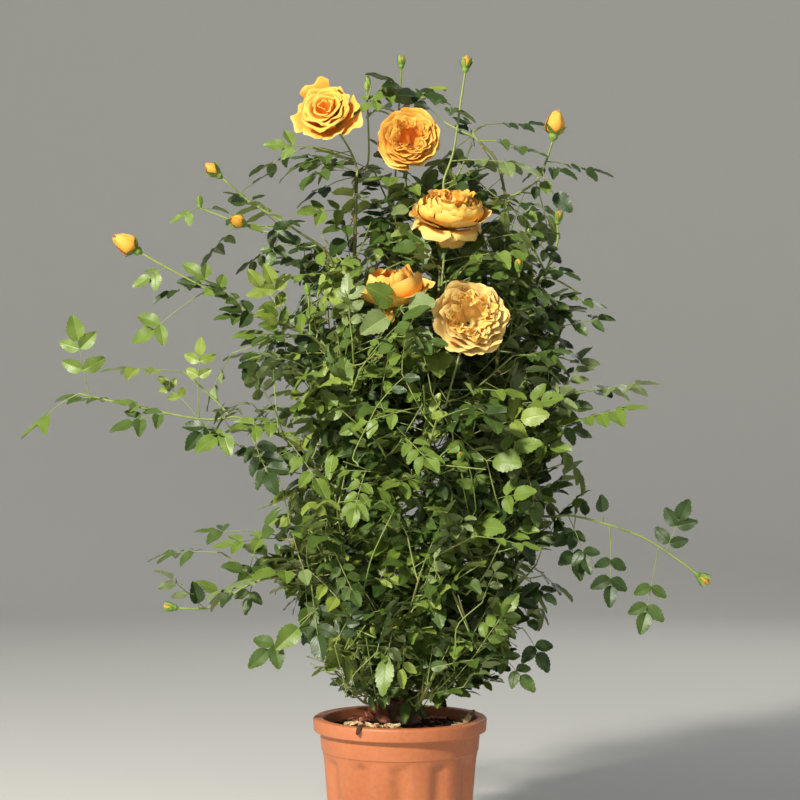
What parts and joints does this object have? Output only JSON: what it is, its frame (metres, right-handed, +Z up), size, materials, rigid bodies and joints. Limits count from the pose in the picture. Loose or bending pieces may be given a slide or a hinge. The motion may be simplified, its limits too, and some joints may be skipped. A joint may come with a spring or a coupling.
{
  "type": "potted climbing rose bush",
  "caption": "Yellow-apricot rose bush with pinnate leaves, cupped blooms and buds, in a round fluted plant pot.",
  "frame": {"origin": "centre of the pot's flat underside, on the surface that the pot stands on", "axes": "+Z up; -Y is the front that the picture shows, and +X is the picture's right"},
  "size_m": [0.9311, 0.5015, 1.1363],
  "materials": {
    "terracotta_plastic": "satin moulded plastic, terracotta coloured",
    "potting_mix": "damp peat and bark",
    "green_wood": "young rose bark, green to brown",
    "foliage": "semi-matt rose leaves",
    "petals": "velvety yellow-apricot petals",
    "bark_chips": "dry bark chips and dead leaves"
  },
  "bodies": {
    "root": {"bough_arch": "green_wood", "bough_back": "green_wood", "bough_left_high": "green_wood", "bough_left_low": "green_wood", "bough_left_middle": "green_wood", "bough_left_top": "green_wood", "bough_right_high": "green_wood", "bough_right_low": "green_wood", "bud_right_high": "foliage", "bud_right_top": "foliage", "bud_top": "foliage", "cane_back_left": "green_wood", "cane_back_right": "green_wood", "cane_front": "green_wood", "cane_left": "green_wood", "cane_right": "green_wood", "foliage_1a": "foliage", "foliage_1b": "foliage", "foliage_1c": "foliage", "foliage_1d": "foliage", "foliage_2a": "foliage", "foliage_2b": "foliage", "foliage_2c": "foliage", "foliage_2d": "foliage", "foliage_3a": "foliage", "foliage_3b": "foliage", "foliage_3c": "foliage", "foliage_3d": "foliage", "foliage_4a": "foliage", "foliage_4b": "foliage", "foliage_4c": "foliage", "foliage_4d": "foliage", "foliage_5a": "foliage", "foliage_5b": "foliage", "foliage_5c": "foliage", "foliage_arch": "foliage", "foliage_back_high": "foliage", "foliage_right": "foliage", "graft_union": "green_wood", "pot": "terracotta_plastic", "potting_mix": "potting_mix", "rose_back_left": "foliage", "rose_back_right": "foliage", "rose_front": "foliage", "rose_middle": "foliage", "rose_top_left": "foliage", "rose_top_middle": "foliage", "rose_upper": "foliage", "shoot_left_high": "foliage", "shoot_left_low": "foliage", "shoot_left_middle": "foliage", "shoot_left_top": "foliage", "shoot_right_low": "foliage"}
  },
  "joints": []
}
